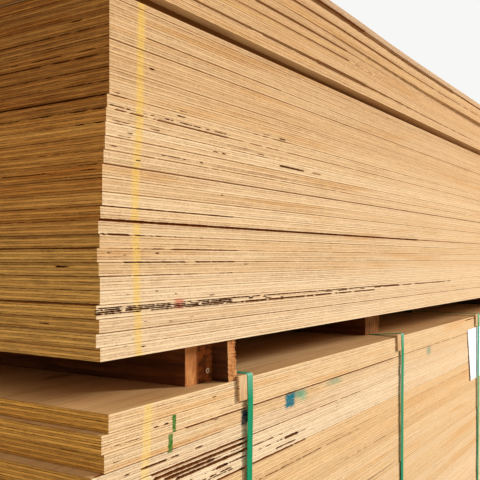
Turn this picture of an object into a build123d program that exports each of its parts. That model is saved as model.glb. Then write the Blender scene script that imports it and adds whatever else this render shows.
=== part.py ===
"""Two packs of plywood sheets, the upper one loose and resting on timber bearers.

The lower pack is held by four plastic straps over wooden edge pads. X runs along the
sheets, Y across them and Z up. The origin is under the middle of the pile, on the floor.
"""
import os
from math import cos, pi, radians, sin

from build123d import *

# Plywood sheets of both packs
sheet_length = 2440.0
sheet_width = 1220.0
upper_thickness = 15.2
thin_thickness = 7.4
lower_thickness = 21.0
upper_gap = 0.18
lower_gap = 0.2

# Where the packs stand, and how far the upper one is turned against the lower one
lower_centre = (-12.5, 19.8)
upper_turn = -1.2

# Straps, measured from the near end of the lower pack
strap_width = 16.0
strap_thickness = 0.9
strap_places = (302.0, 947.0, 1618.0, 2150.0)

# Wooden pads under the straps at the top edges: how far they reach to either side, and how
# far they stand above the sheets
pad_long_reach = 31.0
pad_short_reach = 9.0
pad_height = 35.5
pad_rise = 6.0
pad_thickness = 3.5
pad_slant = 4.0
pad_clearance = 0.8

# Paper label on the front of the lower pack
label_width = 210.0
label_height = 150.0
label_thickness = 0.3
label_clearance = 0.2
label_place = 1507.0
label_below_top = 33.5

# Timber bearers between the packs: near side, width, how far the ends stand in, wane
bearer_height = 59.0
bearers = (
    (194.0, 57.0, 26.0, 38.0, 6.0),
    (921.0, 68.0, 67.0, 24.0, 9.0),
    (1640.0, 58.0, 200.0, 15.0, 5.0),
    (2190.0, 55.0, 60.0, 45.0, 8.0),
)
board_gap = 0.3
board_width = 22.0
board_length = 1204.0

# A strap under a bearer: its room in the bearer's groove, and how far before the bearer's end
# it is down on the sheets
groove_clearance = 0.3
press_reach = 1.0

# How far each sheet of the upper pack is pushed to the far end and towards the back,
# from the bottom up
upper_pushes = [
    (-1.0, 0.0), (-7.0, 0.5), (-3.0, -0.5), (-7.0, 0.0), (-1.5, 0.0), (-1.5, 0.0), (-3.0, 0.5),
    (-7.0, -1.0), (-2.0, 0.0), (-5.5, -1.5), (0.5, 1.5), (3.0, 1.0), (3.0, 1.0), (3.0, 1.0),
    (4.5, 0.5), (6.5, 0.5), (7.0, 0.0), (8.0, 0.0), (10.0, 0.5),
] + 7 * [(13.0, 0.0)]
thin_push = (13.0, 0.5)

# The loose sheets on top: thickness, push to the far end, push to the back, and turn
loose_sheets = (
    (18.0, 12.0, 0.0, 0.0),
    (15.2, 9.0, -1.0, 0.0),
    (12.2, 9.0, -1.0, 0.0),
    (15.2, 14.0, 1.5, 0.0),
    (12.2, 10.0, 7.5, 0.5),
    (18.0, 6.0, -0.5, 0.0),
    (18.0, 12.0, 0.0, 0.0),
    (12.2, 4.0, -2.0, 0.0),
)

# The sheet that stands back is pushed and turned, so its slot is deeper at the far end
set_back_push = (10.0, 24.5)
set_back_turn = 0.5

# The lower pack in the same way, from the bottom up
lower_pushes = (
    6 * [(0.0, 0.0)] + 3 * [(4.0, 0.4)] + 5 * [(-3.0, 0.0)] + 2 * [(6.0, 0.5)]
    + 7 * [(1.0, -0.5)] + [(-5.0, 0.5)] + 3 * [(3.0, 0.2)] + 4 * [(-2.0, 0.4)]
    + [(8.0, 0.0), (-14.0, 0.5), (5.0, 0.0), (1.0, 0.3), (12.0, 0.0)]
)

# Where the loose sheets warp: the sheet that lifts off, its lift, where, and over what reach
warps = (
    (1, 3.3, 560.0, 600.0),
    (3, 1.5, 520.0, 500.0),
    (4, 1.2, 480.0, 450.0),
    (4, 4.0, 1700.0, 1000.0),
    (6, 1.5, 700.0, 1400.0),
    (7, 2.5, 480.0, 450.0),
    (7, 4.0, 1000.0, 1300.0),
)
warp_stations = 13

# Heights of the packs
upper_pitch = upper_thickness + upper_gap
lower_pitch = lower_thickness + lower_gap
lower_top = strap_thickness + len(lower_pushes) * lower_pitch - lower_gap
upper_bottom = lower_top + bearer_height
thin_bottom = upper_bottom + len(upper_pushes) * upper_pitch
set_back_bottom = thin_bottom + thin_thickness + upper_gap
loose_bottom = set_back_bottom + upper_pitch

# The packs meet at their near front corner, and the upper one turns about it
turn = radians(upper_turn)
half_length = sheet_length / 2
half_width = sheet_width / 2
near_corner = (lower_centre[0] - half_length, lower_centre[1] - half_width)
upper_centre = (
    near_corner[0] + half_length * cos(turn) - half_width * sin(turn),
    near_corner[1] + half_length * sin(turn) + half_width * cos(turn),
)
along_upper = (cos(turn), sin(turn), 0)
lower_plane = Plane(origin=(lower_centre[0], lower_centre[1], 0))
upper_origin = (upper_centre[0], upper_centre[1], 0)
upper_plane = Plane(origin=upper_origin, x_dir=along_upper, z_dir=(0, 0, 1))
set_back_plane = upper_plane.rotated((0, 0, set_back_turn))

os.makedirs("parts", exist_ok=True)


def write(solid, name):
    """Label one piece and write it under its own name."""
    solid.label = name
    export_step(solid, f"parts/{name}.step")


def flat_sheets(pack, bottom, thickness, pitch, pushes):
    """Flat sheets one above the other, each pushed a little out of line."""
    with BuildPart() as sheets:
        for number, push in enumerate(pushes):
            with BuildSketch(pack.offset(bottom + number * pitch)):
                with Locations(push):
                    Rectangle(sheet_length, sheet_width)
            extrude(amount=thickness)
    return sheets.part


def lift(number, place):
    """How far a warped sheet stands above where it would lie flat."""
    total = 0.0
    for sheet, height, middle, reach in warps:
        nearness = 1 - abs(place - middle) / reach
        if sheet <= number and nearness > 0:
            total += height * sin(pi / 2 * nearness) ** 2
    return total


def warped_sheets():
    """The loose sheets on top, which don't lie quite flat on each other."""
    bottom = loose_bottom
    with BuildPart() as sheets:
        for number, (thickness, end_push, side_push, own_turn) in enumerate(loose_sheets):
            under = []
            for station in range(warp_stations):
                place = sheet_length * station / (warp_stations - 1)
                under.append((place - half_length + end_push, bottom + lift(number, place)))
            over = [(x, z + thickness) for x, z in under]
            heading = turn + radians(own_turn)
            out_of_front = (sin(heading), -cos(heading), 0)
            along = (cos(heading), sin(heading), 0)
            side = Plane(origin=upper_origin, x_dir=along, z_dir=out_of_front)
            with BuildSketch(side.offset(-side_push)):
                with BuildLine():
                    lower_curve = Spline(*under)
                    upper_curve = Spline(*over)
                    Line(lower_curve @ 0, upper_curve @ 0)
                    Line(lower_curve @ 1, upper_curve @ 1)
                make_face()
            extrude(amount=half_width, both=True)
            bottom += thickness + upper_gap
    return sheets.part


# Sheets of the lower and the upper pack
lower_sheets = flat_sheets(lower_plane, strap_thickness, lower_thickness, lower_pitch, lower_pushes)
write(lower_sheets, "lower_sheets")
upper_sheets = flat_sheets(upper_plane, upper_bottom, upper_thickness, upper_pitch, upper_pushes)
write(upper_sheets, "upper_sheets")
thin_sheet = flat_sheets(upper_plane, thin_bottom, thin_thickness, 0, [thin_push])
write(thin_sheet, "thin_sheet")
set_back_sheet = flat_sheets(set_back_plane, set_back_bottom, upper_thickness, 0, [set_back_push])
write(set_back_sheet, "set_back_sheet")
write(warped_sheets(), "top_sheets")


# Square timbers across the lower pack, each with one waney edge left by the saw, and with a
# groove pressed into the underside where a strap runs below
groove_width = strap_width + 2 * groove_clearance
groove_depth = strap_thickness + groove_clearance
for number, (place, width, front_inset, back_inset, wane) in enumerate(bearers, 1):
    length = sheet_width - front_inset - back_inset
    middle = (place + width / 2 - half_length, (front_inset - back_inset) / 2)
    with BuildPart() as bearer:
        with BuildSketch(lower_plane.offset(lower_top)):
            with Locations(middle):
                Rectangle(width, length)
        extrude(amount=bearer_height)
        far_top_edge = bearer.edges().filter_by(Axis.Y).group_by(Axis.Z)[-1].sort_by(Axis.X)[-1]
        chamfer(far_top_edge, length=wane)
        straps_below = [strap for strap in strap_places if place < strap < place + width]
        for strap_place in straps_below:
            with BuildSketch(lower_plane.offset(lower_top)):
                with Locations((strap_place - half_length, middle[1])):
                    Rectangle(groove_width, length)
            extrude(amount=groove_depth, mode=Mode.SUBTRACT)
    write(bearer.part, f"bearer_{number}")

# A board on edge beside the first bearer, its end level with the sheets
board_place = bearers[0][0] + bearers[0][1] + board_gap + board_width / 2
with BuildPart() as board:
    with BuildSketch(lower_plane.offset(lower_top)):
        with Locations((board_place - half_length, (board_length - sheet_width) / 2)):
            Rectangle(board_width, board_length)
    extrude(amount=bearer_height)
write(board.part, "board_on_edge")

# Straps: a tight closed band round the pack. The pads hold it off the sheets' edges and top,
# apart from where a bearer presses it down
pad_inner = half_width + pad_clearance
pad_outer = pad_inner + pad_thickness
pad_top = lower_top + pad_rise
pad_bottom = pad_top - pad_height
strap_start = (lower_centre[0] - half_length, lower_centre[1], 0)
strap_section = Plane(origin=strap_start, x_dir=(0, 1, 0), z_dir=(1, 0, 0))
for number, place in enumerate(strap_places, 1):
    pressed = []
    for bearer_place, width, front_inset, back_inset, wane in bearers:
        if bearer_place < place < bearer_place + width:
            pressed = [
                (pad_inner, pad_top),
                (half_width - back_inset + press_reach, lower_top),
                (front_inset - half_width - press_reach, lower_top),
                (-pad_inner, pad_top),
            ]
    strap_corners = [
        (pad_inner, strap_thickness),
        (pad_outer, pad_bottom),
        (pad_outer, pad_top),
        *pressed,
        (-pad_outer, pad_top),
        (-pad_outer, pad_bottom),
        (-pad_inner, strap_thickness),
    ]
    with BuildPart() as strap:
        with BuildSketch(strap_section.offset(place)):
            with BuildLine():
                Polyline(*strap_corners, close=True)
            make_face()
            offset(amount=strap_thickness)
            with BuildLine():
                Polyline(*strap_corners, close=True)
            make_face(mode=Mode.SUBTRACT)
        extrude(amount=strap_width / 2, both=True)
    write(strap.part, f"strap_{number}")

# Edge pads: wooden offcuts between the straps and the sheets, one side split off slanting
pad_outline = [
    (-pad_long_reach, 0),
    (-pad_long_reach + pad_slant, -pad_height),
    (pad_short_reach, -pad_height),
    (pad_short_reach, 0),
]
for side, face_turn in (("front", -1), ("back", 1)):
    face = Plane(
        origin=(lower_centre[0] - half_length, lower_centre[1] + face_turn * pad_inner, pad_top),
        x_dir=(-face_turn, 0, 0),
        z_dir=(0, face_turn, 0),
    )
    for number, place in enumerate(strap_places, 1):
        with BuildPart() as pad:
            with BuildSketch(face):
                with BuildLine():
                    Polyline(*[(x - face_turn * place, y) for x, y in pad_outline], close=True)
                make_face()
            extrude(amount=pad_thickness)
        write(pad.part, f"edge_pad_{side}_{number}")

# Blank paper label, behind the third strap
label_plane = Plane(
    origin=(
        near_corner[0] + label_place + label_width / 2,
        near_corner[1] - label_clearance,
        lower_top - label_below_top - label_height / 2,
    ),
    x_dir=(1, 0, 0),
    z_dir=(0, -1, 0),
)
with BuildPart() as label:
    with BuildSketch(label_plane):
        Rectangle(label_width, label_height)
    extrude(amount=label_thickness)
write(label.part, "paper_label")
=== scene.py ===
"""Blender scene for the stack of plywood sheets.

Every sheet, timber, strap and pad and the label is rebuilt in detail around its CAD solid,
in metres and in the CAD's own frame. All places come from the frame, or are measured from
the near front corner of the lower pack and the heights where the two packs meet.
"""
from dataclasses import dataclass
from math import cos, pi, radians, sin

import bpy
import numpy as np
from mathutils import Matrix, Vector, noise
from numpy.linalg import norm


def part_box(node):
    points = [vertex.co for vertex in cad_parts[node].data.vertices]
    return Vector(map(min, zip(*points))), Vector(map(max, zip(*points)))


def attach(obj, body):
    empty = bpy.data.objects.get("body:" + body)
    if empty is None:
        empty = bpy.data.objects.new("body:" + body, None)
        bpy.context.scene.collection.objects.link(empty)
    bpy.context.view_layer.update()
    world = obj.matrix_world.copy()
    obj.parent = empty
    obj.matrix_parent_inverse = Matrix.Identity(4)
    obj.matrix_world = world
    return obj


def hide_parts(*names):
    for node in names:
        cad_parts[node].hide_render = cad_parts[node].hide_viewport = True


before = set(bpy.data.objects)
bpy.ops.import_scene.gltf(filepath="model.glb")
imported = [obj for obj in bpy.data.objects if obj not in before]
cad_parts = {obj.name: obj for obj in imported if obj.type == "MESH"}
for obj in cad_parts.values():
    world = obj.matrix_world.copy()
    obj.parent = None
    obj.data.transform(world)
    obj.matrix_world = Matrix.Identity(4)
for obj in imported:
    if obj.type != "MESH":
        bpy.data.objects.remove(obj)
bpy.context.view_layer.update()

mm = 0.001

# The bearers, the straps and the pads on each side are numbered alike
numbers = range(1, 5)

# A sheet has three plies, and two more above each of these thicknesses in mm
more_plies_above = (10, 17)

# The columns of a sheet's edge: up to each place along it, in mm, how far apart they stand
upper_columns = ((350, 3), (800, 6), (1400, 15), (2600, 30))
lower_columns = ((500, 4), (800, 8), (1400, 15), (2600, 30))
end_columns = ((170, 4), (1300, 30))
hidden_columns = ((2600, 60),)

# The lower sheets up to this one are all below the picture, and get no fine columns
hidden_sheets = 24

# A sheet's columns go round it from the front (0) by the far end and the back to the near end
front, near_end = 0, 3

# Dark gaps along the front, as the photo shows them. Each has the sheet above it, counted from
# the bottom of the pack, from where to where it runs, its height and depth in mm and, unless it
# is open all along, how much of it is closed
upper_gaps = (
    (3, 0, 2440, 1.9, 1.9), (4, 0, 60, 1.4, 1.4, 0.4), (5, 0, 330, 1.1, 1.4, 0.1),
    (5, 330, 2440, 1.7, 1.1, 0.1), (6, 100, 600, 0.7, 1.1, 0.3), (7, 0, 260, 1.6, 2.2, 0.15),
    (7, 260, 1500, 0.8, 1.1, 0.2), (8, 0, 40, 1, 1.1, 0.1), (8, 40, 265, 2.2, 3.3, 0.1),
    (8, 265, 1500, 1.2, 1.1, 0.2), (9, 40, 125, 1.9, 2.8, 0.35), (9, 125, 270, 2.2, 2.8),
    (9, 270, 1500, 1.3, 1.4, 0.2), (10, 5, 50, 2.4, 3.3, 0.35), (10, 50, 200, 1.7, 2.2, 0.5),
    (10, 200, 1200, 1.2, 1.1, 0.5), (11, 0, 1000, 4.2, 5.5), (11, 1000, 2440, 3.8, 1.9),
    (12, 0, 260, 1.8, 3.3), (13, 0, 2440, 1.7, 1.4), (15, 0, 2440, 3.1, 1.9),
    (16, 0, 2440, 1.7, 1.4, 0.1), (17, 0, 2440, 1.3, 1.1, 0.1), (18, 0, 340, 1.3, 1.4, 0.3),
    (19, 5, 235, 3.1, 2.2, 0.1), (19, 235, 2440, 2.4, 1.4, 0.1), (20, 5, 30, 1.7, 2.2),
    (20, 300, 400, 2.2, 1.7, 0.3), (20, 400, 2440, 1.4, 1.1, 0.3), (22, 0, 900, 0.7, 1.1, 0.2),
    (24, 0, 2440, 1, 1.1, 0.2), (25, 60, 375, 2, 1.7), (25, 375, 1500, 1.1, 1.1, 0.3),
    (27, 0, 2440, 1.7, 1.1, 0.1),
)
lower_gaps = (
    (36, 0, 2440, 0.8, 1.5, 0.2), (35, 0, 150, 0.9, 2, 0.2), (35, 150, 900, 2.9, 6),
    (35, 900, 2440, 2, 3, 0.1), (34, 5, 250, 1.8, 4), (34, 250, 2440, 1.4, 2, 0.2),
    (33, 80, 312, 4.6, 9), (33, 312, 720, 2.2, 3.5, 0.1), (33, 720, 2440, 0.9, 2, 0.3),
    (32, 0, 2440, 0.6, 1.2, 0.4), (31, 228, 446, 4.8, 9), (31, 452, 492, 4, 6, 0.1),
    (31, 492, 2440, 1.2, 2, 0.2), (30, 300, 2440, 2, 2.5, 0.1), (28, 700, 2440, 1.2, 2, 0.3),
    (21, 900, 2440, 1.2, 2, 0.1), (18, 0, 2440, 1.2, 2, 0.1),
)
thin_gaps = ((1, 0, 2440, 1.4, 2, 0.1),)
top_gaps = (
    (2, 0, 500, 2.8, 1.6, 0.1), (2, 500, 700, 3.8, 2.6), (2, 700, 1400, 3.4, 1.4, 0.2),
    (4, 250, 620, 4, 2.2), (4, 620, 1000, 3.4, 1.4, 0.2), (5, 300, 620, 3.8, 2.2),
    (5, 620, 1000, 3.4, 1.4, 0.1), (6, 560, 1000, 3, 1.4, 0.1), (7, 380, 900, 4.6, 2.2),
    (7, 900, 1500, 4, 1.4, 0.2), (8, 450, 700, 4, 5), (8, 700, 1250, 3.4, 2.2),
)

# Top edges that are worn to a slope, which catches the light: sheet, height, depth in mm
upper_slopes = ((21, 0.9, 0.9), (23, 1.6, 1.4), (26, 1, 1))

# Slots inside the front edges where the plies have voids: sheet, height above its underside,
# from, to, height, depth in mm and, unless it is open all along, how much of it is closed
upper_slots = (
    (1, 13.2, 38, 42, 1.1, 2.6), (1, 10, 66, 72, 1.3, 2.6),
    (3, 7.6, 20, 26, 0.9, 1.6, 0.2), (3, 7.6, 74, 78, 1.2, 2.6),
    (3, 7.6, 158, 170, 0.9, 1.6, 0.4), (3, 2.2, 42, 50, 0.9, 1.6, 0.2),
    (3, 4.9, 120, 125, 1.3, 2.6), (4, 11.6, 5, 230, 1.2, 3.2, 0.25),
    (4, 9.6, 0, 262, 1.6, 3.9, 0.1), (4, 7.4, 0, 262, 1.8, 3.9, 0.1),
    (4, 5.1, 0, 285, 1.6, 3.9, 0.1), (4, 11.6, 230, 900, 1.8, 2.9, 0.1),
    (4, 5.1, 285, 760, 2.5, 3.2, 0.15), (4, 9.6, 300, 350, 1.9, 3.2, 0.2),
    (4, 7.4, 350, 400, 2.3, 3.2, 0.2), (4, 9.6, 402, 428, 2.5, 3.2, 0.2),
    (4, 9.6, 500, 760, 1.9, 2.6, 0.5), (4, 9.6, 760, 1300, 2.3, 2.3, 0.3),
    (5, 11.5, 94, 98, 1.3, 2.6), (5, 9.4, 42, 46, 1, 2),
    (5, 7.2, 131, 134, 1.3, 2), (5, 2.2, 203, 213, 1.3, 2),
    (7, 12, 289, 297, 1.1, 2), (8, 10.4, 15, 21, 1.6, 3.2),
    (8, 8, 40, 47, 1.3, 2.6), (8, 10.4, 97, 102, 1.4, 2.6),
    (13, 12.9, 225, 232, 1.2, 2), (15, 9.2, 52, 60, 1.3, 2.6),
    (16, 5.3, 10, 18, 1, 1.3), (16, 5.3, 98, 132, 1, 1.3, 0.5),
    (16, 5.3, 139, 146, 1.4, 2.6), (16, 5.3, 176, 182, 1.6, 2.6),
    (17, 7.6, 35, 44, 1.2, 2.6), (17, 7.6, 203, 213, 1.3, 2.6),
    (17, 7.6, 223, 232, 1.5, 2.6), (17, 7.6, 376, 457, 2.4, 3.2),
    (17, 7.6, 484, 514, 1.6, 1.6, 0.2), (17, 2.4, 18, 46, 1, 1.6, 0.5),
    (18, 2.8, 6, 36, 1.1, 2, 0.3), (18, 2.8, 74, 90, 1.1, 1.6),
    (18, 2.8, 312, 334, 1.2, 1.3, 0.2), (19, 11.8, 124, 138, 1.6, 2.6),
    (19, 4, 3, 36, 1.3, 2, 0.2), (19, 4, 60, 80, 1.2, 1.6, 0.2),
    (19, 4, 100, 240, 1.3, 2, 0.35), (20, 3, 8, 30, 1, 2, 0.2),
    (20, 3, 124, 138, 1, 1.3), (20, 3, 322, 340, 1.2, 1.3, 0.2),
    (20, 3, 374, 386, 2, 2.3), (22, 12, 68, 77, 2, 3.2),
)
lower_slots = (
    (36, 7, 204, 211, 1.4, 4), (36, 16, 1460, 1600, 2.2, 4),
    (35, 12.2, 89, 97, 2.4, 6), (35, 12.2, 110, 118, 2.4, 6),
    (35, 5.3, 24, 60, 1, 2.5, 0.2), (35, 9.4, 232, 330, 0.9, 2, 0.2),
    (34, 8.6, 16, 26, 1.2, 3), (34, 18.4, 213, 222, 1.3, 4),
    (33, 10.8, 56, 66, 1.8, 5, 0.2), (33, 10.8, 82, 130, 2.6, 6, 0.1),
    (33, 10.8, 138, 152, 2, 5, 0.2), (33, 10.8, 183, 206, 1.8, 3, 0.1),
    (32, 14.2, 84, 300, 4.2, 9),
    (32, 8.7, 104, 212, 4, 9), (32, 8.7, 212, 300, 1.8, 4, 0.25),
    (32, 3.4, 128, 302, 3.8, 9), (32, 3.4, 302, 400, 2, 4, 0.25),
    (31, 15.4, 165, 226, 1.8, 4, 0.4), (31, 15.4, 226, 252, 4, 8),
    (31, 15.4, 258, 300, 2.2, 5, 0.2), (31, 15.4, 330, 420, 2, 4, 0.4),
    (31, 15.4, 420, 462, 4, 8), (31, 15.4, 462, 490, 1.4, 2.5, 0.2),
    (31, 8.2, 190, 262, 2.4, 6, 0.25), (31, 5.6, 195, 265, 2, 6, 0.35),
    (31, 5.6, 390, 412, 2.6, 6), (31, 5.6, 412, 452, 2.2, 5, 0.25),
    (29, 13.4, 340, 720, 1.4, 3, 0.15), (27, 11.8, 600, 900, 1.4, 2.5, 0.3),
    (24, 7.4, 750, 1000, 1.8, 3, 0.2),
)

# The same on the near end, measured from its front corner
upper_end_gaps = (
    (2, 0, 1220, 1.2, 2, 0.2), (4, 0, 1220, 1.3, 2, 0.1), (5, 0, 1220, 2.4, 5),
    (6, 0, 1220, 1.2, 2, 0.5), (7, 0, 1220, 1.2, 2, 0.2), (9, 0, 1220, 1.9, 4),
    (11, 0, 1220, 1.6, 3, 0.1), (12, 0, 1220, 1.3, 2, 0.2), (14, 0, 60, 1.2, 2, 0.3),
    (15, 0, 40, 1.4, 3, 0.1), (16, 0, 1220, 1.1, 2, 0.4), (18, 0, 45, 1.8, 4, 0.2),
    (19, 0, 1220, 1.7, 4, 0.4), (20, 0, 1220, 3.1, 8), (21, 0, 70, 1.6, 3, 0.1),
    (22, 0, 1220, 1.4, 3, 0.2), (23, 0, 1220, 1.9, 4, 0.1), (25, 0, 1220, 1.4, 3, 0.3),
)
upper_end_slots = (
    (3, 7.4, 79, 97, 1.3, 4), (7, 10.6, 46, 66, 1.5, 5),
    (14, 9.8, 0, 1220, 1, 2, 0.5), (23, 7, 0, 1220, 1.2, 3, 0.6),
    (25, 11.6, 44, 58, 1.6, 6),
)

# Paint on the fronts. The stripe's course: share of the height, and distance in tenths of a metre
stripe_height = 0.45
stripe_course = ((0, 0.62), (0.43, 0.57), (0.58, 0.62), (0.9999, 0.75))

# A spot or dab: from, to and softness in mm along the front, the same for its height (of a dab:
# down from the top of the pack), and a dab's colour and strength
red_spot = ((128, 145, 4), (50, 62, 3))
dabs = (
    ((127, 134, 1.6), (22, 43, 0.5), (58, 112, 28), 1),
    ((118, 127, 1.6), (43.5, 67, 1), (58, 112, 28), 1),
    ((286, 304, 3), (45, 66, 3), (0, 40, 62), 0.95),
    ((430, 484, 16), (43, 55, 5), (40, 140, 120), 0.75),
    ((465, 488, 10), (48, 62, 5), (110, 178, 140), 0.5),
    ((417, 449, 6), (43, 65, 3.5), (0, 108, 124), 1),
    ((575, 630, 20), (43, 54, 5), (110, 150, 120), 0.55),
    ((1135, 1165, 8), (43, 62, 4), (95, 140, 125), 0.6),
)

strap_thickness = 0.9
pad_radius = 2.7

# How far pieces are out of true, in mm: a bearer's end, the board and a pad over their
# height, and the label's near edge along the front and off it
bearer_skew = 5
board_lean = 3
pad_lean = 3.5
label_slant = 30
label_lift = 1.6

# The camera is level, and stands where the photo's vanishing points say, in metres
heading = radians(32.12)
corner_ahead = 0.769
corner_left = 0.1499
eye_above_pack = 0.1114
lens = 53.5
horizon_below_middle = 18.9 / 480


def dice(*seeds):
    """A source of random numbers that gives the same ones each run."""
    return np.random.default_rng(seeds)


def waves(random, places, step, size):
    """A random line over these places that changes direction about every step."""
    count = int(places.max() / step) + 2
    return np.interp(places, np.arange(count) * step, random.normal(0, size, count))


def add(name, data):
    """Put an object with this data into the scene."""
    made = bpy.data.objects.new(name, data)
    bpy.context.scene.collection.objects.link(made)
    return made


def put(name, points, faces, materials, replaced):
    """Make one piece of the object from its points and faces."""
    mesh = bpy.data.meshes.new(name)
    mesh.from_pydata(points, [], faces)
    for material in materials:
        mesh.materials.append(material)
    piece = add(name, mesh)
    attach(piece, "root")
    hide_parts(replaced)
    return piece


def srgb(red, green, blue):
    """A colour as the photo writes it, from 0 to 255, in Blender's linear form."""
    channels = []
    for value in (red / 255, green / 255, blue / 255):
        channels.append(value / 12.92 if value < 0.04045 else ((value + 0.055) / 1.055) ** 2.4)
    return (*channels, 1.0)


# Dark brown for the recesses of the sheets' edges, where it is painted shade that deepens with the
# recess, and for small dark specks in the plies
cavity = srgb(128, 68, 16)


class Nodes:
    """A tree of shader nodes that is built one step at a time."""

    def __init__(self, tree):
        self.tree = tree

    def feed(self, socket, value):
        if isinstance(value, bpy.types.NodeSocket):
            self.tree.links.new(value, socket)
        else:
            socket.default_value = value

    def node(self, kind, inputs=(), **settings):
        made = self.tree.nodes.new("ShaderNode" + kind)
        for name, setting in settings.items():
            setattr(made, name, setting)
        for name, value in dict(inputs).items():
            self.feed(made.inputs[name], value)
        return made

    def math(self, operation, *values):
        return self.node("Math", enumerate(values), operation=operation).outputs[0]


class Shading(Nodes):
    """A material: one colour, the paints that cover it by turns, and a relief."""

    def __init__(self, name, roughness, colour, gloss=0.1):
        self.material = bpy.data.materials.new(name)
        self.material.use_nodes = True
        super().__init__(self.material.node_tree)
        self.surface = self.tree.nodes["Principled BSDF"]
        self.surface.inputs["Roughness"].default_value = roughness
        self.surface.inputs["Specular IOR Level"].default_value = gloss
        self.spot = self.node("TexCoord").outputs["Object"]
        self.colour = colour

    def times(self, first, second):
        return self.math("MULTIPLY", first, second)

    def plus(self, first, second):
        return self.math("ADD", first, second)

    def minus(self, first, second):
        return self.math("SUBTRACT", first, second)

    def line(self, value, factor, offset):
        """The value times a factor, and an offset more."""
        return self.math("MULTIPLY_ADD", value, factor, offset)

    def scaled(self, vector, *factors):
        inputs = ((0, vector), (1, factors))
        return self.node("VectorMath", inputs, operation="MULTIPLY").outputs[0]

    def join(self, *values):
        return self.node("CombineXYZ", enumerate(values)).outputs[0]

    def split(self, vector):
        return self.node("SeparateXYZ", ((0, vector),)).outputs

    def attribute(self, name, output):
        return self.node("Attribute", attribute_name=name).outputs[output]

    def noise(self, place, factors, detail=2, roughness=0.5, distortion=0):
        """A noise whose scale is multiplied by a factor on each axis."""
        inputs = {"Vector": self.scaled(place, *factors), "Scale": 1, "Detail": detail}
        inputs |= {"Roughness": roughness, "Distortion": distortion}
        return self.node("TexNoise", inputs).outputs["Fac"]

    def chance(self, place):
        return self.node("TexWhiteNoise", {"Vector": place}).outputs["Value"]

    def fade(self, value, low, high):
        """0 below low, 1 above high and smooth between them."""
        inputs = {"Value": value, "From Min": low, "From Max": high}
        return self.node("MapRange", inputs, interpolation_type="SMOOTHSTEP").outputs[0]

    def within(self, value, low, high, soft):
        """1 between low and high, and 0 outside."""
        rising = self.fade(value, low - soft, low + soft)
        falling = self.fade(value, high - soft, high + soft)
        return self.times(rising, self.minus(1.0, falling))

    def patch(self, across, upright, width, height):
        """1 inside a rectangle, whose from, to and softness in mm are given both ways."""
        sides = ((across, width), (upright, height))
        return self.times(*(self.within(way, *(mm * limit for limit in limits)) for way, limits in sides))

    def mix(self, amount, first, second):
        inputs = {0: amount, 6: first, 7: second}
        return self.node("Mix", inputs, data_type="RGBA").outputs[2]

    def cover(self, paint, amount, strength=1):
        """Lay a paint over the colour so far."""
        if strength != 1:
            amount = self.times(amount, strength)
        self.colour = self.mix(amount, self.colour, paint)

    def done(self, relief=None, depth=0.0):
        """The material, with a relief of this depth in mm."""
        if relief is not None:
            inputs = {"Strength": 1, "Distance": depth * mm, "Height": relief}
            self.feed(self.surface.inputs["Normal"], self.node("Bump", inputs).outputs[0])
        self.feed(self.surface.inputs["Base Color"], self.colour)
        return self.material


def front_place(mat):
    """How far along the front a spot is, and its height. The back is beyond all the paint."""
    x, y, z = mat.split(mat.spot)
    behind = mat.math("GREATER_THAN", y, 0)
    return mat.line(behind, 10, mat.minus(x, near_corner[0])), z


def paint_stripe(mat, across, centre, core, patchy, paint, strength):
    """A worn yellow stripe down the front, solid up to its core and gone at 10 mm."""
    aside = mat.math("ABSOLUTE", mat.minus(across, centre))
    stripe = mat.minus(1, mat.fade(aside, core * mm, 10 * mm))
    mat.cover(paint, mat.times(stripe, patchy), strength)


def upper_marks(mat):
    """Paint on the front of the upper pack: a yellow stripe and a red spot."""
    across, z = front_place(mat)
    height = mat.minus(z, upper_bottom)
    course = mat.node("FloatCurve", {"Value": mat.math("DIVIDE", height, stripe_height)})
    points = course.mapping.curves[0].points
    points[0].location = stripe_course[0]
    for place in stripe_course[1:]:
        points.new(*place)
    course.mapping.update()
    worn = mat.noise(mat.spot, (300, 300, 400), 3)
    centre = mat.times(course.outputs[0], 0.1)
    paint_stripe(mat, across, centre, 2, mat.line(worn, 1.4, -0.05), srgb(238, 196, 88), 0.85)
    mat.cover(srgb(205, 75, 60), mat.patch(across, height, *red_spot), 0.6)


def lower_marks(mat):
    """Paint on the front of the lower pack: a yellow stripe, green dashes and teal dabs."""
    across, z = front_place(mat)
    depth = mat.minus(lower_top, z)
    worn = mat.noise(mat.spot, (250, 250, 300), 3)
    centre = mat.line(depth, -0.08, 81 * mm)
    paint_stripe(mat, across, centre, 5, mat.line(worn, 0.6, 0.4), srgb(246, 210, 118), 0.7)
    patchy = mat.line(worn, 1.2, 0.35)
    uneven = mat.line(mat.noise(mat.spot, (90, 90, 260)), 9 * mm, -4.5 * mm)
    for width, height, paint, strength in dabs:
        reach = mat.line(uneven, width[2] / 4, across)
        level = mat.line(uneven, height[2] / 4, depth)
        dab = mat.patch(reach, level, width, height)
        mat.cover(srgb(*paint), mat.times(dab, patchy), strength)


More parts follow.
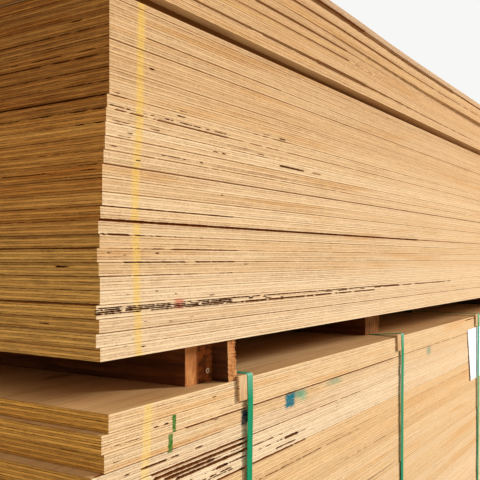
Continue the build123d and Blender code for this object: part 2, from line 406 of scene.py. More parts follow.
def edge_material(name, long_side, pale, warm, dark, orange, batches_and_shade=(), marks=None):
    """Sawn plywood edge: plies that show their long or their end grain by turns.

    A long edge's grain gets softer toward the far end, and a painted shade darkens it there. A batch is
    a run of sheets of one colour: the first and last seed, the softness, the colour and how much
    of it. The darker runs over the upper sheets are partly painted shade.
    """
    mat = Shading(name, 0.85, pale)
    place = mat.attribute("edge", "Vector")
    along, level, seed = mat.split(place)
    ply = mat.math("FLOOR", level)
    crosswise = mat.math("MODULO", mat.plus(ply, 0.0 if long_side else 1), 2)
    apart = 17.3

    own = mat.chance(mat.join(ply, seed, 0))
    sheet_tone = mat.chance(mat.join(seed, 3, 5))
    tone = mat.line(own, 0.3, mat.times(sheet_tone, 0.55))
    tone = mat.plus(tone, mat.line(mat.noise(place, (7, 0.9, apart)), 1, -0.4))
    mat.cover(warm, mat.fade(tone, 0, 1))
    mat.cover(orange, mat.fade(mat.noise(place, (2.6, 0.12, apart)), 0.52, 0.72), 0.7)
    for first, last, soft, paint, amount in batches_and_shade:
        mat.cover(paint, mat.within(seed, first, last, soft), amount)
    grimy = mat.chance(mat.join(seed, 8, 2))
    mat.cover(dark, mat.fade(grimy, 0.3, 1), 0.16)

    smoother = 0.0
    if long_side:
        smoother = mat.fade(along, 0.4, 1.5)
        # Painted shade: the long edge grows darker toward the far end
        mat.cover(srgb(212, 170, 120), smoother, 0.32)
    grain = mat.line(smoother, -0.3, 0.5 if long_side else 0.75)
    saw_lines = mat.noise(place, (26, 6.5, apart), 4, 0.8)
    mat.cover(dark, mat.times(mat.fade(saw_lines, 0.48, 0.66), grain))
    pores = mat.times(mat.fade(mat.noise(place, (430, 5, apart), 2, 0.7), 0.5, 0.7), crosswise)
    mat.cover(dark, pores, 0.45)
    mat.cover(dark, crosswise, 0.08 if long_side else 0.25)

    broken = mat.noise(mat.join(along, ply, seed), (60, 1, apart), 3, 0.75)
    from_middle = mat.math("ABSOLUTE", mat.minus(mat.minus(level, ply), 0.5))
    glue = mat.times(mat.fade(from_middle, 0.3, 0.44), mat.fade(broken, 0.3, 0.6))
    clear = mat.fade(mat.noise(place, (3.4, 0.5, apart)), 0.4, 0.66)
    glue = mat.times(glue, mat.line(clear, 0.65, 0.35))
    glue = mat.times(glue, mat.line(smoother, -0.65, 1))
    mat.cover(dark, glue, 0.95)

    if not long_side:
        strands = mat.noise(place, (16, 3.2, apart), 4, 0.75)
        mat.cover(pale, mat.fade(strands, 0.54, 0.68), 0.55)
        mat.cover(dark, mat.minus(1, mat.fade(strands, 0.34, 0.48)), 0.6)
    mat.cover(cavity, mat.fade(mat.noise(place, (240, 2.4, apart), 1), 0.7, 0.78), 0.6)
    if marks:
        marks(mat)
    # Painted shade in the gaps and slots: the deeper a point is recessed, the more dark brown it gets
    mat.cover(cavity, mat.fade(mat.attribute("hollow", "Fac"), 0.6, 2.2))
    relief = mat.plus(mat.line(pores, 0.5, glue), mat.times(saw_lines, 0.6))
    return mat.done(mat.times(relief, -1.0), 0.35)


def face_material(name, pale, warm, dark):
    """The broad face of a sheet: peeled veneer with its grain along the sheet."""
    mat = Shading(name, 0.62, pale)
    place = mat.attribute("edge", "Vector")
    flow = mat.noise(place, (1.6, 9, 7), 3, 0.55)
    rings = mat.noise(place, (1.2, 26, 3), 4, 0.5, 1.2)
    fibres = mat.noise(place, (16, 620, 11), 3, 0.7)
    bands = mat.math("PINGPONG", mat.times(rings, 9), 1)
    mat.cover(warm, mat.fade(flow, 0.3, 0.7))
    mat.cover(dark, mat.fade(bands, 0.55, 1), 0.28)
    mat.cover(dark, mat.fade(fibres, 0.45, 0.8), 0.3)
    cells = mat.node("TexVoronoi", {"Vector": mat.scaled(place, 1.7, 5, 1), "Scale": 1})
    rare = mat.fade(mat.chance(cells.outputs["Position"]), 0.62, 0.63)
    knot = mat.minus(1, mat.fade(cells.outputs["Distance"], 0.03, 0.075))
    mat.cover(dark, mat.times(knot, rare), 0.8)
    return mat.done(mat.plus(fibres, bands), 0.12)


def end_shadow_and_nail(mat, shadow_from, nail):
    """A painted shadow over one side of a timber's end, mottled and ragged at its edge, and a pale ring
    round its nail.
    """
    ragged = mat.noise(mat.spot, (60, 60, 90), 4, 0.7)
    across, _, height = mat.split(mat.spot)
    beyond = mat.line(ragged, 16 * mm, mat.minus(across, shadow_from))
    mottled_shadow = mat.mix(mat.fade(ragged, 0.4, 0.62), srgb(92, 46, 18), srgb(156, 82, 34))
    # Painted shadow of the board over the far side of the end
    mat.cover(mottled_shadow, mat.fade(beyond, 6 * mm, 11 * mm))
    away = (mat.minus(across, nail[0]), mat.minus(height, nail[1]))
    radius = mat.math("SQRT", mat.plus(*(mat.times(side, side) for side in away)))
    ring = mat.within(mat.line(ragged, 1.6 * mm, radius), 2.4 * mm, 4.6 * mm, 0.5 * mm)
    mat.cover(srgb(240, 208, 168), ring)


def timber_material(name, along_y, pale, dark, *shadow_and_nail):
    """Rough sawn timber, darkened by weather."""
    mat = Shading(name, 0.85, dark)
    stretch = (90.0, 5.0, 90.0) if along_y else (160.0, 160.0, 28.0)
    grain = mat.noise(mat.spot, stretch, 5, 0.65, 0.4)
    weather = mat.noise(mat.spot, (22, 9, 22), 4, 0.6)
    mat.cover(pale, mat.fade(grain, 0.3, 0.75))
    mat.cover(dark, mat.fade(weather, 0.42, 0.7), 0.6)
    if shadow_and_nail:
        end_shadow_and_nail(mat, *shadow_and_nail)
    return mat.done(grain, 0.9)


def strap_material():
    """Green embossed strap with a satin gloss, paler where it bends over a pad: a painted highlight that
    also stands for the whitening of bent plastic.
    """
    mat = Shading("strap_green", 0.5, srgb(4, 134, 90), 0.06)
    place = mat.attribute("edge", "Vector")
    along, across, whitening_and_highlight = mat.split(place)
    diagonals = (mat.plus(along, across), mat.minus(along, across))
    ridges = [mat.math("SINE", mat.times(way, 2 * pi / (2.4 * mm))) for way in diagonals]
    scuffs = mat.noise(place, (30, 400, 1), 4, 0.7)
    mat.cover(srgb(20, 154, 108), mat.fade(scuffs, 0.4, 0.8))
    # Painted highlight at the bends over the pads, which also stands for the whitening of bent plastic
    mat.cover(srgb(170, 224, 200), whitening_and_highlight, 0.6)
    return mat.done(mat.line(scuffs, 0.6, mat.math("MAXIMUM", *ridges)), 0.06)


def label_material():
    """Plain white paper, a little crumpled."""
    mat = Shading("label_paper_white", 0.6, srgb(250, 252, 254))
    creases = mat.noise(mat.spot, (45, 45, 60), 4, 0.6)
    fibres = mat.noise(mat.spot, (900, 900, 900))
    mat.cover(srgb(236, 241, 246), mat.fade(creases, 0.35, 0.75))
    return mat.done(mat.line(fibres, 0.06, creases), 0.8)


class Lay:
    """Where a sheet lies, in mm: its near front corner, directions, sizes and underside."""

    def __init__(self, points):
        points = points / mm
        ground = points[:, :2]
        x, y = ground.T
        self.corner = ground[np.argmin(x + y)]
        far_front = ground[np.argmax(x - y)]
        near_back = ground[np.argmin(x - y)]
        self.length = norm(far_front - self.corner)
        self.width = norm(near_back - self.corner)
        self.along = (far_front - self.corner) / self.length
        self.inward = (near_back - self.corner) / self.width
        places = (ground - self.corner) @ self.along
        near_heights = points[places < 1, 2]
        self.thickness = near_heights.max() - near_heights.min()
        self.stations = []
        self.under = []
        for station in np.unique(np.round(places, 1)):
            heights = points[np.abs(places - station) < 0.1, 2]
            if heights.max() - heights.min() > 0.9 * self.thickness:
                self.stations.append(station)
                self.under.append(heights.min())

    def bottom(self, place):
        """Height of the underside at this distance from the near end."""
        return np.interp(place, self.stations, self.under)

    def spot(self, place, depth, height):
        """Points in metres at this distance from the near end, the front and the floor."""
        ground = self.corner + np.outer(place, self.along) + np.outer(depth, self.inward)
        return np.column_stack([ground, height]) * mm


def loose_parts(node):
    """The points of each separate solid of a CAD node, from the lowest to the highest."""
    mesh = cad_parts[node].data
    points = np.array([vertex.co for vertex in mesh.vertices])
    names = {}
    spots = [names.setdefault(tuple(np.round(point, 5)), len(names)) for point in points]
    group = list(range(len(names)))

    def head(item):
        while group[item] != item:
            item = group[item]
        return item

    for polygon in mesh.polygons:
        first = head(spots[polygon.vertices[0]])
        for corner in polygon.vertices[1:]:
            group[head(spots[corner])] = first
    owner = np.array([head(spot) for spot in spots])
    parts = [points[owner == name] for name in np.unique(owner)]
    return sorted(parts, key=lambda part: part[:, 2].min())


def column_places(length, columns):
    """Places of the columns along an edge of this length."""
    places = [0.0]
    for until, step in columns:
        end = min(until, length)
        if end > places[-1]:
            count = max(1, round((end - places[-1]) / step))
            places += list(np.linspace(places[-1], end, count + 1)[1:])
    return np.array(places)


class Rim:
    """The columns round a sheet: front, far end, back and near end, in that order."""

    def __init__(self, lay, columns):
        lengths = (lay.length, lay.width, lay.length, lay.width)
        along, far, behind, near = (
            column_places(length, side) for length, side in zip(lengths, columns)
        )
        sides = (
            (along, 0 * along, (0, -1)),
            (0 * far + lay.length, far, (1, 0)),
            (behind[::-1], 0 * behind + lay.width, (0, 1)),
            (0 * near, near[::-1], (-1, 0)),
        )
        counts = [len(places) - 1 for places, _, _ in sides]
        self.starts = np.cumsum([0] + counts)
        self.side = np.repeat(range(4), counts)
        self.place = np.concatenate([places[:-1] for places, _, _ in sides])
        self.depth = np.concatenate([depths[:-1] for _, depths, _ in sides])
        self.out = np.repeat([out for _, _, out in sides], counts, axis=0).astype(float)
        for index, start in enumerate(self.starts[:4]):
            self.out[start] += sides[index - 1][2]
        measured = [side[index % 2] for index, side in enumerate(sides)]
        self.start = np.concatenate([distances[:-1] for distances in measured])
        self.end = np.concatenate([distances[1:] for distances in measured])
        steps = np.abs(self.end - self.start)
        self.walked = np.cumsum(steps) - steps


def ply_depths(rim, plies, random):
    """How far each ply stands back from the sheet's outline at each column, in mm."""
    sheet_wave = waves(random, rim.walked, 300, 0.12)
    depths = []
    for ply in range(plies):
        crosswise = (ply + rim.side) % 2
        fuzz = np.where(crosswise, 0.3, 0.14)
        depth = 0.2 + random.normal(0, 0.1) + 0.15 * crosswise + sheet_wave
        depth = depth + waves(random, rim.walked, 55, 0.1) + fuzz * random.random(len(fuzz))
        depths.append(np.clip(depth, 0, None))
    return np.array(depths)


def worn_edge(rim, random, height, depth):
    """The usual wear of a sheet's edge: its height and depth at each column, in mm."""
    tall = height + np.abs(waves(random, rim.walked, 40, 0.4 * height))
    deep = depth + np.abs(waves(random, rim.walked, 70, 0.4 * depth))
    return tall * random.uniform(0.8, 1.2, len(tall)), deep


def ragged_run(rim, side, start, end, height, seed, closed=0):
    """The columns where a gap is open, and its uneven height there, in mm."""
    random = dice(seed, int(start), side)
    opening = waves(random, rim.walked, 11, 1.0) + random.normal(0, 0.25, len(rim.start))
    run = (rim.side == side) & (rim.start >= start) & (rim.start <= end)
    run &= opening >= np.quantile(opening, closed)
    spread = min(0.37, 0.26 / height)
    ragged = random.uniform(0.93 - spread, 0.93 + spread, len(rim.start))
    ragged += waves(random, rim.walked, 18, 0.4 * spread)
    return run, height * np.clip(ragged, 0.3, 1.6)


def open_gaps(rim, number, side, gaps, share, under, over):
    """Open the gaps under and over this sheet: this share of each in the sheet above it."""
    for above, start, end, height, depth, *closed in gaps:
        if number not in (above, above - 1):
            continue
        tall, deep = under if number == above else over
        part = height * (share if number == above else 1 - share)
        run, tallness = ragged_run(rim, side, start, end, part, above, *closed)
        tall[run] = tallness[run]
        deep[run] = depth


def edge_rows(lay, rim, pack, number, plies, random):
    """Height and recess of each row of points up a sheet's edge, at each column, in mm."""
    ply = lay.thickness / plies
    top = lay.thickness
    count = len(rim.start)
    depths = ply_depths(rim, plies, random)
    under_tall, under_deep = under = worn_edge(rim, random, 0.16, 0.45)
    over_tall, over_deep = over = worn_edge(rim, random, 0.14, 0.35)
    for side, gaps in ((front, pack.gaps), (near_end, pack.end_gaps)):
        open_gaps(rim, number, side, gaps, pack.share, under, over)
    for sheet_number, height, depth in pack.slopes:
        if sheet_number == number:
            over_tall[rim.side == front] = height
            over_deep[rim.side == front] = depth

    rows = [
        (0.0, np.zeros(count), depths[0] + under_deep),
        (0.1, np.clip(under_tall, 0.05, 0.93 * ply), depths[0]),
        (top - 0.1, top - np.clip(over_tall, 0.05, 0.9 * ply), depths[-1]),
        (top, np.full(count, top), depths[-1] + over_deep),
    ]
    for upper in range(1, plies):
        wave = waves(random, rim.walked, 45, 0.035 * ply)
        for aside, drawn in ((-0.04 * ply, upper - 1), (0.04 * ply, upper)):
            level = upper * ply + aside
            rows.append((level, level + wave, depths[drawn]))
    slots = {}
    for side, known in ((front, pack.slots), (near_end, pack.end_slots)):
        for sheet_number, level, *shape in known:
            if sheet_number == number:
                slots.setdefault(level, []).append((side, *shape))
    for level, shapes in slots.items():
        half = np.full(count, 0.03)
        deep = np.zeros(count)
        for side, start, end, height, depth, *closed in shapes:
            seed = 100 * number + int(10 * level)
            run, tallness = ragged_run(rim, side, start, end, height / 2, seed, *closed)
            half[run] = tallness[run]
            deep[run] = depth * random.uniform(0.8, 1.2, run.sum())
        middle = level + waves(random, rim.walked, 30, 0.12)
        around = depths[min(int(level / ply), plies - 1)]
        for place, back in ((-1.15, 0), (-0.7, 1), (0.7, 1), (1.15, 0)):
            rows.append((level + 0.001 * place, middle + place * half, around + back * deep))

    # A slot keeps its height, and the other rows make way for it
    rows.sort(key=lambda row: row[0])
    held = [min((abs(row[0] - level) for level in slots), default=1) < 0.01 for row in rows]
    levels, recess = (np.array(values) for values in list(zip(*rows))[1:])
    for row in range(len(levels) - 2, -1, -1):
        if not held[row]:
            levels[row] = np.minimum(levels[row], levels[row + 1] - 0.02)
    levels[0] = 0
    for row in range(1, len(levels)):
        levels[row] = np.maximum(levels[row], levels[row - 1] + 0.02)
    return levels, recess


def cap_faces(rim, warped):
    """The faces of a broad side, as lists of columns. A warped one is cut across."""
    starts = rim.starts
    if not warped:
        return [list(range(starts[4]))]
    along = list(range(starts[0], starts[1] + 1))
    behind = list(range(starts[2], starts[3] + 1))[::-1]
    far = list(range(starts[1], starts[2] + 1))
    near = list(range(starts[3], starts[4])) + [0]
    caps = [
        [along[place], along[place + 1], behind[place + 1], behind[place]]
        for place in range(1, len(along) - 2)
    ]
    return caps + [[along[-2]] + far + [behind[-2]], [behind[1]] + near + [along[1]]]


def record_corners(mesh, rim, place, depth, levels, seed):
    """Tell the materials where each corner of a sheet's faces is: along, up in plies, and seed."""
    sides = (len(levels) - 1) * len(rim.side)
    kinds = np.full(len(mesh.polygons), 2, np.int32)
    kinds[:sides] = np.tile(np.array([0, 3, 0, 1])[rim.side], len(levels) - 1)
    mesh.polygons.foreach_set("material_index", kinds)
    corners = np.zeros(len(mesh.loops), np.int32)
    mesh.loops.foreach_get("vertex_index", corners)
    edge = np.column_stack([place.ravel(), depth.ravel(), place.ravel()])[corners] * mm
    edge[:, 2] = seed
    around = np.roll(levels, -1, axis=1)
    start, end = (np.broadcast_to(ways, around[1:].shape) for ways in (rim.start, rim.end))
    edge[:4 * sides, 0] = np.stack([start, end, end, start], axis=-1).ravel() * mm
    edge[:4 * sides, 1] = np.stack([levels[:-1], around[:-1], around[1:], levels[1:]], axis=-1).ravel()
    mesh.attributes.new("edge", "FLOAT_VECTOR", "CORNER").data.foreach_set("vector", edge.ravel())


def sheet(name, node, pack, number, points):
    """One sheet of plywood with the relief of its plies round the edge."""
    lay = Lay(points)
    plies = 3 + 2 * sum(lay.thickness > limit for limit in more_plies_above)
    rim = Rim(lay, pack.columns if number > pack.hidden else 4 * (hidden_columns,))
    levels, recess = edge_rows(lay, rim, pack, number, plies, dice(number, plies, len(name)))
    place = rim.place - rim.out[:, 0] * recess
    depth = rim.depth - rim.out[:, 1] * recess
    spots = lay.spot(place.ravel(), depth.ravel(), (lay.bottom(place) + levels).ravel())
    index = np.arange(levels.size).reshape(levels.shape)
    after = np.roll(index, -1, axis=1)
    quads = np.stack([index[:-1], after[:-1], after[1:], index[1:]], axis=-1).reshape(-1, 4)
    caps = cap_faces(rim, pack.warped)
    faces = quads.tolist() + [cap[::-1] for cap in caps]
    faces += [[column + index[-1, 0] for column in cap] for cap in caps]
    materials = (pack.front_material, shaded_near_end, sheet_face, sheet_far_end)
    piece = put(name, spots, faces, materials, node)
    in_plies = levels / (lay.thickness / plies)
    record_corners(piece.data, rim, place, depth, in_plies, pack.seed + number)
    hollow = piece.data.attributes.new("hollow", "FLOAT", "POINT")
    hollow.data.foreach_set("value", recess.ravel())


near_corner = Lay(loose_parts("lower_sheets")[0]).corner * mm
upper_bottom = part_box("upper_sheets")[0].z
lower_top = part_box("lower_sheets")[1].z

# On the front, the darker run over the upper sheets is partly painted shade
upper_front = edge_material(
    "upper_long_edge", True, srgb(246, 216, 172), srgb(236, 198, 148), srgb(144, 90, 34),
    srgb(224, 174, 114),
    ((100.4, 106.4, 0.6, srgb(253, 230, 194), 0.45), (119.4, 190, 3, srgb(208, 154, 90), 0.36),
     (170.4, 177.4, 0.2, srgb(208, 154, 92), 0.25), (177.6, 178.4, 0.2, srgb(206, 176, 146), 0.7)),
    upper_marks,
)
# The set-back sheet's edge lies in the shade of the sheets above it; its dark browns are painted shade,
# not the wood's own colour
set_back_front_shaded = edge_material(
    "set_back_long_edge", True, srgb(142, 90, 34), srgb(126, 76, 26), srgb(90, 48, 12),
    srgb(120, 70, 22),
)
lower_front = edge_material(
    "lower_long_edge", True, srgb(249, 222, 180), srgb(240, 202, 150), srgb(144, 92, 36),
    srgb(234, 180, 116),
    ((200, 218.4, 0.6, srgb(254, 232, 196), 0.5), (226.6, 230.4, 0.6, srgb(232, 180, 114), 0.4),
     (230.6, 233.4, 0.6, srgb(255, 234, 200), 0.6)),
    lower_marks,
)
# The near end: the same wood as the far end, painted darker and more orange, which is painted shade. Its
# dark run over the upper sheets is partly painted shade
shaded_near_end = edge_material(
    "short_edge", False, srgb(238, 174, 88), srgb(206, 134, 56), srgb(76, 34, 6),
    srgb(190, 110, 34),
    ((118.4, 190, 0.6, srgb(126, 68, 20), 0.5), (100.4, 109.4, 1, srgb(255, 198, 106), 0.75),
     (200, 240, 0.6, srgb(255, 190, 90), 0.8)),
)
sheet_face = face_material("veneer_face", srgb(214, 178, 128), srgb(198, 152, 98), srgb(150, 100, 54))
sheet_far_end = edge_material(
    "short_edge_far", False, srgb(244, 202, 142), srgb(228, 176, 112), srgb(132, 84, 40),
    srgb(216, 160, 96),
)

# Columns of the front, far end, back and near end. The back of the warped sheets has to follow
# their front, so that strips of the broad side can join them
upper_rim = (upper_columns, hidden_columns, hidden_columns, end_columns)
lower_rim = (lower_columns, hidden_columns, hidden_columns, end_columns)
warped_rim = (upper_columns, hidden_columns, upper_columns, end_columns)


@dataclass
class Pack:
    """What the sheets of one CAD node have in common."""

    name: str
    seed: int
    gaps: tuple = ()
    end_gaps: tuple = ()
    slots: tuple = ()
    end_slots: tuple = ()
    slopes: tuple = ()
    share: float = 0.5
    hidden: int = 0
    warped: bool = False
    columns: tuple = upper_rim
    front_material: bpy.types.Material = upper_front
    slot: str = "plywood_upper"


packs = {
    "lower_sheets": Pack(
        "lower_ply_{:02d}", 200, lower_gaps, slots=lower_slots, share=0.2, hidden=hidden_sheets,
        columns=lower_rim, front_material=lower_front, slot="plywood_lower",
    ),
    "upper_sheets": Pack(
        "upper_ply_{:02d}", 100, upper_gaps, upper_end_gaps, upper_slots, upper_end_slots, upper_slopes
    ),
    "thin_sheet": Pack("thin_ply", 150, thin_gaps),
    "set_back_sheet": Pack("set_back_ply", 160, front_material=set_back_front_shaded),
    "top_sheets": Pack("top_ply_{}", 170, top_gaps, warped=True, columns=warped_rim),
}


def build_sheets():
    """All the sheets of the two packs."""
    for node, pack in packs.items():
        for number, points in enumerate(loose_parts(node), 1):
            sheet(pack.name.format(number), node, pack, number, points)


def box_lattice(low, high, steps, *extra):
    """The surface of a box as points and faces, cut about every step and at extra places."""
    lines = [
        grid_lines(low[axis], high[axis], steps[axis], *places)
        for axis, places in enumerate(extra or ((), (), ()))
    ]
    found = {}
    faces = []
    for axis in range(3):
        first, second = (axis + 1) % 3, (axis + 2) % 3
        for end in (0, len(lines[axis]) - 1):
            for i in range(len(lines[first]) - 1):
                for j in range(len(lines[second]) - 1):
                    corners = []
                    for a, b in ((i, j), (i + 1, j), (i + 1, j + 1), (i, j + 1)):
                        cell = [0, 0, 0]
                        cell[axis], cell[first], cell[second] = end, a, b
                        corners.append(found.setdefault(tuple(cell), len(found)))
                    faces.append(corners if end else corners[::-1])
    points = [[lines[axis][line] for axis, line in enumerate(cell)] for cell in found]
    return np.array(points, float), faces


def grid_lines(low, high, step, *extra):
    """Even lines from low to high, with more close to both ends and at the places given."""
    count = max(2, round((high - low) / step))
    margin = min(2.0, (high - low) / 6)
    lines = list(np.linspace(low, high, count + 1)) + [low + margin, high - margin] + list(extra)
    return np.unique(np.round(lines, 3))


def rounded(points, low, high, radius):
    """Pull the points in from the edges and corners of a box."""
    inner = np.clip(points, low + radius, high - radius)
    offset = points - inner
    size = norm(offset, axis=1)
    outside = size > radius
    points = points.copy()
    points[outside] = inner[outside] + offset[outside] * (radius / size[outside])[:, None]
    return points


def rough(points, low, high, size, scales):
    """Push the points of a box in from its faces by up to about size, unevenly."""
    depths = [size * (0.5 + noise.fractal(point * scales, 0.7, 2.0, 4)) for point in points]
    on_face = np.minimum(np.abs(points - low), np.abs(points - high)) < 1e-6
    inward = on_face * np.sign((low + high) / 2 - points)
    return points + inward * np.clip(depths, 0, None)[:, None]


def box_in_mm(node):
    low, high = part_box(node)
    return np.array(low) / mm, np.array(high) / mm


def nearness(places, start, reach):
    """1 at the start and less beyond it, down to 0 at this reach."""
    return np.clip(1 - (places - start) / reach, 0, 1)


def end_grain(piece, slope):
    """Give the second material to the faces that look along the piece."""
    for polygon in piece.data.polygons:
        polygon.material_index = int(abs(polygon.normal.y) > slope)


def build_bearers():
    """The four timbers between the packs, rough sawn, with a groove where a strap passes."""
    side = timber_material("bearer_side", True, srgb(138, 80, 38), srgb(72, 38, 16))
    end = timber_material("bearer_end", False, srgb(206, 146, 86), srgb(112, 64, 28))
    low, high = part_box("bearer_1")
    # Bearer 1's near end gets a painted shadow of the board beyond 40% of its width
    shadow_from = low.x + 0.4 * (high.x - low.x)
    nail = (low.x + 0.82 * (high.x - low.x), low.z + 0.27 * (high.z - low.z))
    first_end = timber_material(
        "bearer_end_dirty", False, srgb(228, 160, 96), srgb(160, 92, 44), shadow_from, nail
    )
    straps = [box_in_mm(f"strap_{number}") for number in numbers]
    for number in numbers:
        low, high = box_in_mm(f"bearer_{number}")
        grooves = [(a[0], b[0]) for a, b in straps if a[0] > low[0] and b[0] < high[0]]
        cuts = [value for start, stop in grooves for value in (start - 0.6, start, stop, stop + 0.6)]
        near_cuts = (low[1] + 3, low[1] + 6)
        lattice, faces = box_lattice(low, high, (5, 12, 5), cuts, near_cuts, ())
        points = rough(lattice, low, high, 0.5, (0.08, 0.012, 0.08))
        points = rounded(points, low, high, 0.8)
        x, y, z = lattice.T
        skew = bearer_skew * (high[0] - x) / (high[0] - low[0])
        points[:, 1] += skew * nearness(y, low[1], 40)
        wane = 3 + 1.5 * number
        over = (x - high[0]) + (z - high[2]) + wane
        points[:, ::2] -= np.maximum(over, 0)[:, None] / 2
        for start, stop in grooves:
            inside = (x >= start - 0.01) & (x <= stop + 0.01) & (z < low[2] + 0.01)
            points[inside, 2] = low[2] + 1.1
        materials = (side, first_end if number == 1 else end)
        piece = put(
            f"timber_{number}", points * mm, faces, materials, f"bearer_{number}"
        )
        end_grain(piece, 0.7)


def build_board():
    """The rough board on edge: it leans a little, and its end is splintered."""
    side = timber_material("board_side", True, srgb(120, 68, 34), srgb(58, 30, 14))
    end = timber_material("board_end", False, srgb(228, 172, 112), srgb(170, 104, 52))
    low, high = box_in_mm("board_on_edge")
    near_cuts = low[1] + np.array([1, 2.5, 5, 9])
    lattice, faces = box_lattice(low, high, (2.5, 14, 2), (), near_cuts, ())
    points = rough(lattice, low, high, 0.5, (0.1, 0.012, 0.1))
    points = rounded(points, low, high, 0.5)
    random = dice(7, 7)
    x, y, z = lattice.T
    height = (z - low[2]) / (high[2] - low[2])
    points[:, 0] += board_lean * (0.5 - height) * nearness(y, low[1], 60)
    middle = (low[0] + high[0]) / 2
    teeth = {level: np.clip(np.abs(random.normal(0, 1.3, 2)), 0, 1.8) for level in np.unique(z)}
    splinters = [teeth[level][int(half)] for level, half in zip(z, x > middle)]
    splinters *= nearness(y, low[1], 8)
    points[:, 0] -= splinters * (x - middle) / (middle - low[0])
    points[:, 1] += splinters * 1.2
    piece = put("rough_board", points * mm, faces, (side, end), "board_on_edge")
    end_grain(piece, 0.6)


def bend(corner, before, after, radius, steps=6):
    """Points of a rounded corner between two straight runs."""
    corner, before, after = (np.array(point, float) for point in (corner, before, after))
    back = (before - corner) / norm(before - corner)
    ahead = (after - corner) / norm(after - corner)
    half = np.arccos(np.clip(back @ ahead, -1, 1)) / 2
    reach = radius / np.tan(half)
    centre = corner + (back + ahead) / norm(back + ahead) * radius / sin(half)
    start, stop = corner + back * reach, corner + ahead * reach
    first = np.arctan2(*(start - centre)[::-1])
    turn = np.arctan2(*(stop - centre)[::-1]) - first
    turn = (turn + pi) % (2 * pi) - pi
    angles = first + turn * np.linspace(0, 1, steps)
    return [tuple(centre + radius * np.array([cos(angle), sin(angle)])) for angle in angles]


def strap_corners(number):
    """The corners of a strap's outline across the pile, and how round each is."""
    low, high = box_in_mm(f"strap_{number}")
    pad_low, pad_high = box_in_mm(f"edge_pad_front_{number}")
    inner_front = pad_high[1]
    inner_back = box_in_mm(f"edge_pad_back_{number}")[0][1]
    corners = [
        ((inner_front - strap_thickness, low[2]), 2.0), ((inner_back + strap_thickness, low[2]), 2.0),
        ((high[1], pad_low[2]), 30.0), ((high[1], high[2]), 3.6),
    ]
    for bearer in numbers:
        foot_low, foot_high = box_in_mm(f"bearer_{bearer}")
        if foot_low[0] < low[0] and high[0] < foot_high[0]:
            pressed = lower_top / mm + strap_thickness
            corners += [
                ((inner_back, high[2]), 3.0), ((foot_high[1] + 1.0, pressed), 3.0),
                ((foot_low[1] - 1.0, pressed), 3.0), ((inner_front, high[2]), 3.0),
            ]
    return corners + [((low[1], high[2]), 3.6), ((low[1], pad_low[2]), 30.0)]


def strap_path(corners):
    """Points along a closed strap, with one about every step on its straight runs."""
    step = 25
    path = []
    for index, (corner, radius) in enumerate(corners):
        after = corners[(index + 1) % len(corners)][0]
        path += bend(corner, corners[index - 1][0], after, radius)
        gap = np.array(after) - path[-1]
        count = int(norm(gap) / step)
        path += [tuple(path[-1] + gap * part / count) for part in range(1, count)]
    return np.array(path)


def build_straps():
    """The four straps: closed bands that bend round the pads and the bottom edges."""
    material = strap_material()
    for number in numbers:
        low, high = box_in_mm(f"strap_{number}")
        path = strap_path(strap_corners(number))
        ahead = np.roll(path, -1, axis=0) - np.roll(path, 1, axis=0)
        ahead /= norm(ahead, axis=1)[:, None]
        inward = np.column_stack([-ahead[:, 1], ahead[:, 0]])
        down = high[2] - path[:, 1]
        sway = np.interp(down, (0, 12, 50, 75, 135, 300, 780), (-1.0, 0.3, 0.8, 0.0, -0.9, 0.6, 0.0))
        middle = (low[0] + high[0]) / 2
        half = (high[0] - low[0]) / 2 - 1.0
        section = [(-half, 0.15), (-half + 0.3, 0), (half - 0.3, 0), (half, 0.15)]
        section += [(aside, strap_thickness - depth) for aside, depth in section[::-1]]
        points = np.concatenate([
            np.column_stack([middle + aside + sway, path + inward * depth])
            for aside, depth in section
        ])
        index = np.arange(len(points)).reshape(len(section), len(path))
        after = np.roll(index, -1, axis=1)
        following = np.roll(index, -1, axis=0)
        beyond = np.roll(after, -1, axis=0)
        faces = np.stack([index, after, beyond, following], axis=-1).reshape(-1, 4).tolist()
        piece = put(
            f"green_strap_{number}", points * mm, faces, (material,), f"strap_{number}"
        )
        walked = np.cumsum(norm(np.diff(path, axis=0, prepend=path[-1:]), axis=1))
        tops = [np.array([end, high[2]]) for end in (low[1], high[1])]
        nearest = np.min([norm(path - top, axis=1) for top in tops], axis=0)
        # How much painted highlight and whitening each point gets: most where the strap bends over a pad
        whitening_and_highlight = np.clip(1.2 - nearest / 5, 0, 1)
        values = [
            (distance * mm, aside * mm, white)
            for aside, _ in section for distance, white in zip(walked, whitening_and_highlight)
        ]
        edge = piece.data.attributes.new("edge", "FLOAT_VECTOR", "POINT")
        edge.data.foreach_set("vector", np.array(values).ravel())
        if piece.data.polygons[0].normal.z > 0:
            piece.data.flip_normals()


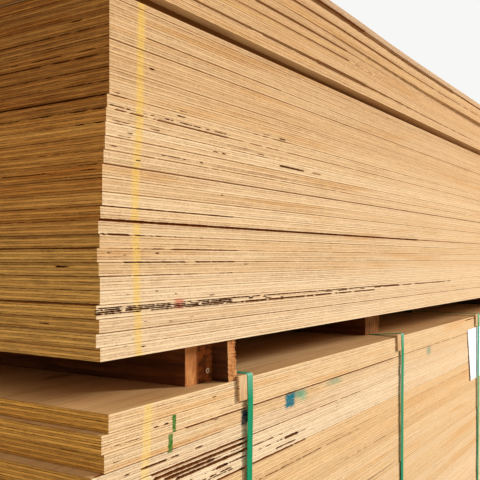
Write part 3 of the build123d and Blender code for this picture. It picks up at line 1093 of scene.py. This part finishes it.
def build_pads():
    """Eight wooden offcuts under the straps, with a rounded top edge and a ragged side."""
    material = timber_material("pad_wood_pale", False, srgb(228, 196, 150), srgb(196, 150, 102))
    for side, sign in (("front", 1), ("back", -1)):
        for number in numbers:
            node = f"edge_pad_{side}_{number}"
            low, high = box_in_mm(node)
            lattice, faces = box_lattice(low, high, (2.5, 0.9, 2))
            points = rough(lattice, low, high, 0.3, (0.3, 0.2, 0.06))
            ragged, outer, inner = (low[0], low[1], high[1]) if sign == 1 else (high[0], high[1], low[1])
            corner = abs(outer - inner) - pad_radius, high[2] - pad_radius
            x, y, z = lattice.T
            over = np.column_stack([abs(y - inner), z]) - corner
            size = norm(np.clip(over, 0, None), axis=1)
            bent = (over.min(axis=1) > 0) & (size > pad_radius)
            pulled = corner + over[bent] * (pad_radius / size[bent])[:, None]
            points[bent, 1] = inner - sign * pulled[:, 0]
            points[bent, 2] = pulled[:, 1]
            random = dice(40, number, len(side))
            depth_of = {level: abs(random.normal(0, 0.9)) for level in np.unique(z)}
            lean = pad_lean * (high[2] - z) / (high[2] - low[2])
            deep = [depth_of[level] for level in z] + lean
            points[:, 0] += sign * nearness(abs(x - ragged), 0, 8) * deep
            put(f"wood_pad_{side}_{number}", points * mm, faces, (material,), node)


def build_label():
    """The blank paper label, whose near edge has come away a little askew."""
    low, high = box_in_mm("paper_label")
    lattice, faces = box_lattice(low, high, (6, 1, 6))
    points = lattice.copy()
    x, _, z = lattice.T
    down = (high[2] - z) / (high[2] - low[2])
    near = nearness(x, low[0], 120)
    points[:, 0] += label_slant * down * near
    points[:, 1] -= label_lift * near ** 3 * (0.5 + down)
    put("white_label", points * mm, faces, (label_material(),), "paper_label")


def place_camera():
    data = bpy.data.cameras.new("camera")
    camera = add("camera", data)
    data.lens = lens
    data.shift_y = horizon_below_middle
    data.clip_start = 0.02
    forward = np.array([cos(heading), sin(heading)])
    right = np.array([sin(heading), -cos(heading)])
    ground = near_corner + corner_left * right - corner_ahead * forward
    camera.location = (*ground, upper_bottom + eye_above_pack)
    camera.rotation_euler = (pi / 2, 0, heading - pi / 2)
    bpy.context.scene.camera = camera


def area_light(name, azimuth, elevation, distance, size, power, colour):
    """A soft rectangular lamp that looks at the middle of the pile's near part."""
    data = bpy.data.lights.new(name, "AREA")
    data.shape = "RECTANGLE"
    data.size, data.size_y = size
    data.energy = power
    data.color = colour
    lamp = add(name, data)
    target = Vector((-0.6, -0.5, 0.9))
    level = cos(radians(elevation))
    direction = Vector((
        level * sin(radians(azimuth)), -level * cos(radians(azimuth)), sin(radians(elevation))
    ))
    lamp.location = target + distance * direction
    lamp.rotation_euler = direction.to_track_quat("Z", "Y").to_euler()


def set_stage():
    """Pale floor and backdrop, a tall soft key lamp and even light from all round."""
    floor_mesh = bpy.data.meshes.new("floor")
    reach = 12
    corners = [(-reach, -reach, 0), (reach, -reach, 0), (reach, reach, 0), (-reach, reach, 0)]
    floor_mesh.from_pydata(corners, [], [(0, 1, 2, 3)])
    floor = add("floor", floor_mesh)
    floor_mesh.materials.append(Shading("floor_pale", 0.9, srgb(226, 226, 224)).done())

    world = bpy.data.worlds.new("world")
    world.use_nodes = True
    bpy.context.scene.world = world
    world.node_tree.nodes.clear()
    sky = Nodes(world.node_tree)
    ambient = sky.node("Background", {"Color": (1, 0.98, 0.95, 1), "Strength": 0.3})
    backdrop = sky.node("Background", {"Color": (0.93, 0.93, 0.92, 1), "Strength": 1})
    path = sky.node("LightPath").outputs
    seen = sky.math("MAXIMUM", path["Is Camera Ray"], path["Is Glossy Ray"])
    seen = sky.math("MAXIMUM", seen, path["Is Transmission Ray"])
    blend = sky.node("MixShader", enumerate((seen, ambient.outputs[0], backdrop.outputs[0])))
    sky.node("OutputWorld", {0: blend.outputs[0]})

    area_light("key", 50, 20, 25.0, (2.6, 5.0), 7000, (1.0, 0.97, 0.93))
    area_light("fill", -75, 40, 4.0, (3.0, 3.0), 40, (1.0, 0.85, 0.65))
    area_light("back", 150, 35, 7.0, (3.0, 3.0), 240, (1.0, 0.97, 0.93))


build_sheets()
build_bearers()
build_board()
build_straps()
build_pads()
build_label()
place_camera()
set_stage()
bpy.context.scene.view_settings.view_transform = "Standard"
